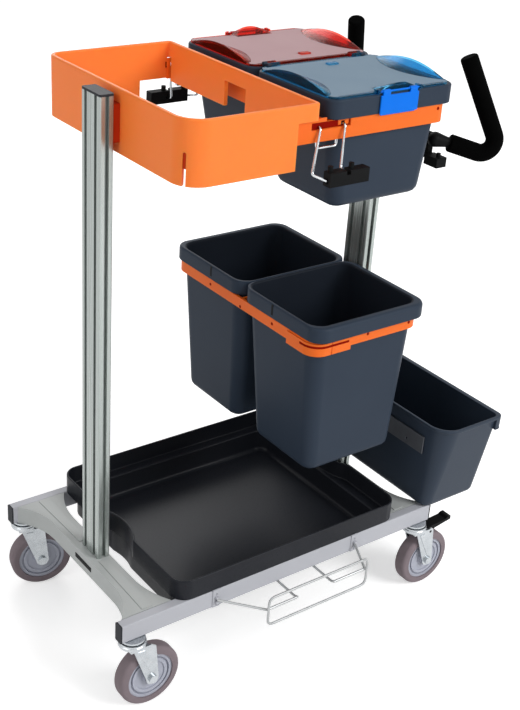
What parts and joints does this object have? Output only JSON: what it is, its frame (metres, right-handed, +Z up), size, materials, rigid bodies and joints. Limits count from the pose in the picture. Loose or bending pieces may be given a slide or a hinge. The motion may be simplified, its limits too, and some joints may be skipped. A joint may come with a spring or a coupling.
{
  "type": "janitor cart",
  "caption": "Cleaning cart on swivel casters with a bag hoop, lidded boxes, open bins, side bucket, tray, wire basket, tool holders and bent foam handles.",
  "frame": {"origin": "on the floor, in the middle plane, midway between the two posts", "axes": "+X along the rails from the bag end to the handle end, +Y away from the basket side, +Z up"},
  "size_m": [0.8787, 0.5571, 1.1271],
  "materials": {
    "rail_paint": "satin grey paint",
    "cast_paint": "satin grey paint",
    "dark_plastic": "matte",
    "black_plastic": "matte",
    "post_aluminium": "anodised",
    "zinc": "zinc plated",
    "tyre_rubber": "matte",
    "core_plastic": "matte",
    "basket_wire": "coated",
    "orange_plastic": "satin",
    "grey_plastic": "satin",
    "blue_lid": "see-through, satin",
    "red_lid": "see-through, satin",
    "blue_plastic": "gloss",
    "red_plastic": "gloss",
    "foam": "foam",
    "rubber": "matte",
    "tool_wire": "bright",
    "strip_steel": "bare"
  },
  "bodies": {
    "frame": {"near_rail": "rail_paint", "far_rail": "rail_paint", "rail_end_caps": "dark_plastic", "left_cross_member": "cast_paint", "right_cross_member": "cast_paint", "foot_inserts": "black_plastic", "left_post": "post_aluminium", "right_post": "post_aluminium", "post_caps": "dark_plastic", "post_bolts": "zinc", "caster_heads": "zinc", "wire_basket": "basket_wire", "basket_clips": "zinc", "bag_hoop": "orange_plastic", "hoop_bracket": "orange_plastic", "box_frame": "orange_plastic", "box_frame_bracket": "dark_plastic", "bin_frame": "orange_plastic", "bin_frame_bracket": "dark_plastic", "bucket_bracket": "strip_steel", "bracket_screws": "zinc", "slot_nuts": "zinc", "handle_bar": "black_plastic", "handle_bracket": "black_plastic", "handle_knuckles": "black_plastic", "near_handle_tube": "zinc", "far_handle_tube": "zinc", "near_grip": "foam", "far_grip": "foam", "tool_holder_wires": "tool_wire", "tool_clips": "rubber"},
    "tray": {"tray": "black_plastic"},
    "near_bin": {"near_bin": "grey_plastic"},
    "far_bin": {"far_bin": "grey_plastic"},
    "near_box": {"near_box": "grey_plastic"},
    "far_box": {"far_box": "grey_plastic"},
    "side_bucket": {"side_bucket": "grey_plastic"},
    "near_lid": {"near_lid": "blue_lid"},
    "near_latch": {"near_latch": "blue_plastic"},
    "far_lid": {"far_lid": "red_lid"},
    "far_latch": {"far_latch": "red_plastic"},
    "near_left_swivel": {"near_left_fork": "zinc", "near_left_axle": "zinc"},
    "near_left_wheel": {"near_left_hub": "core_plastic", "near_left_tyre": "tyre_rubber"},
    "far_left_swivel": {"far_left_fork": "zinc", "far_left_axle": "zinc"},
    "far_left_wheel": {"far_left_hub": "core_plastic", "far_left_tyre": "tyre_rubber"},
    "near_right_swivel": {"near_right_fork": "zinc", "near_right_axle": "zinc"},
    "near_right_wheel": {"near_right_hub": "core_plastic", "near_right_tyre": "tyre_rubber"},
    "far_right_swivel": {"far_right_fork": "zinc", "far_right_axle": "zinc"},
    "far_right_wheel": {"far_right_hub": "core_plastic", "far_right_tyre": "tyre_rubber"},
    "near_pedal": {"near_brake_pedal": "black_plastic"},
    "far_pedal": {"far_brake_pedal": "black_plastic"}
  },
  "joints": [
    {"name": "tray_lift", "type": "slide", "parent": "frame", "child": "tray", "axis": [0, 0, 1], "range_m": [0, 0.1]},
    {"name": "near_bin_lift", "type": "slide", "parent": "frame", "child": "near_bin", "axis": [0, 0, 1], "range_m": [0, 0.18]},
    {"name": "far_bin_lift", "type": "slide", "parent": "frame", "child": "far_bin", "axis": [0, 0, 1], "range_m": [0, 0.18]},
    {"name": "near_box_lift", "type": "slide", "parent": "frame", "child": "near_box", "axis": [0, 0, 1], "range_m": [0, 0.15]},
    {"name": "far_box_lift", "type": "slide", "parent": "frame", "child": "far_box", "axis": [0, 0, 1], "range_m": [0, 0.15]},
    {"name": "side_bucket_lift", "type": "slide", "parent": "frame", "child": "side_bucket", "axis": [0, 0, 1], "range_m": [0, 0.1]},
    {"name": "near_lid_hinge", "type": "hinge", "parent": "near_box", "child": "near_lid", "pos_m": [0.142, -0.006, 1.0998], "axis": [-1, 0, 0], "range_deg": [0, 75]},
    {"name": "near_latch_hinge", "type": "hinge", "parent": "near_lid", "child": "near_latch", "pos_m": [0.15, -0.21788, 1.0998], "axis": [-1, 0, 0], "range_deg": [0, 90]},
    {"name": "far_lid_hinge", "type": "hinge", "parent": "far_box", "child": "far_lid", "pos_m": [0.142, 0.006, 1.0998], "axis": [1, 0, 0], "range_deg": [0, 75]},
    {"name": "far_latch_hinge", "type": "hinge", "parent": "far_lid", "child": "far_latch", "pos_m": [0.15, 0.21788, 1.0998], "axis": [1, 0, 0], "range_deg": [0, 90]},
    {"name": "near_left_swivel_turn", "type": "hinge", "parent": "frame", "child": "near_left_swivel", "pos_m": [-0.343, -0.213, 0.14], "axis": [0, 0, 1], "continuous": true},
    {"name": "near_left_wheel_spin", "type": "hinge", "parent": "near_left_swivel", "child": "near_left_wheel", "pos_m": [-0.311, -0.213, 0.0625], "axis": [0, 1, 0], "continuous": true},
    {"name": "far_left_swivel_turn", "type": "hinge", "parent": "frame", "child": "far_left_swivel", "pos_m": [-0.343, 0.213, 0.14], "axis": [0, 0, 1], "continuous": true},
    {"name": "far_left_wheel_spin", "type": "hinge", "parent": "far_left_swivel", "child": "far_left_wheel", "pos_m": [-0.31182, 0.2058, 0.0625], "axis": [0.225, 0.9744, 0], "continuous": true},
    {"name": "near_right_swivel_turn", "type": "hinge", "parent": "frame", "child": "near_right_swivel", "pos_m": [0.343, -0.213, 0.14], "axis": [0, 0, 1], "continuous": true},
    {"name": "near_right_wheel_spin", "type": "hinge", "parent": "near_right_swivel", "child": "near_right_wheel", "pos_m": [0.375, -0.213, 0.0625], "axis": [0, 1, 0], "continuous": true},
    {"name": "far_right_swivel_turn", "type": "hinge", "parent": "frame", "child": "far_right_swivel", "pos_m": [0.343, 0.213, 0.14], "axis": [0, 0, 1], "continuous": true},
    {"name": "far_right_wheel_spin", "type": "hinge", "parent": "far_right_swivel", "child": "far_right_wheel", "pos_m": [0.375, 0.213, 0.0625], "axis": [0, 1, 0], "continuous": true},
    {"name": "near_pedal_press", "type": "hinge", "parent": "near_right_swivel", "child": "near_pedal", "pos_m": [0.373, -0.213, 0.136], "axis": [0, 1, 0], "range_deg": [0, 12]},
    {"name": "far_pedal_press", "type": "hinge", "parent": "far_right_swivel", "child": "far_pedal", "pos_m": [0.373, 0.213, 0.136], "axis": [0, 1, 0], "range_deg": [0, 12]}
  ]
}
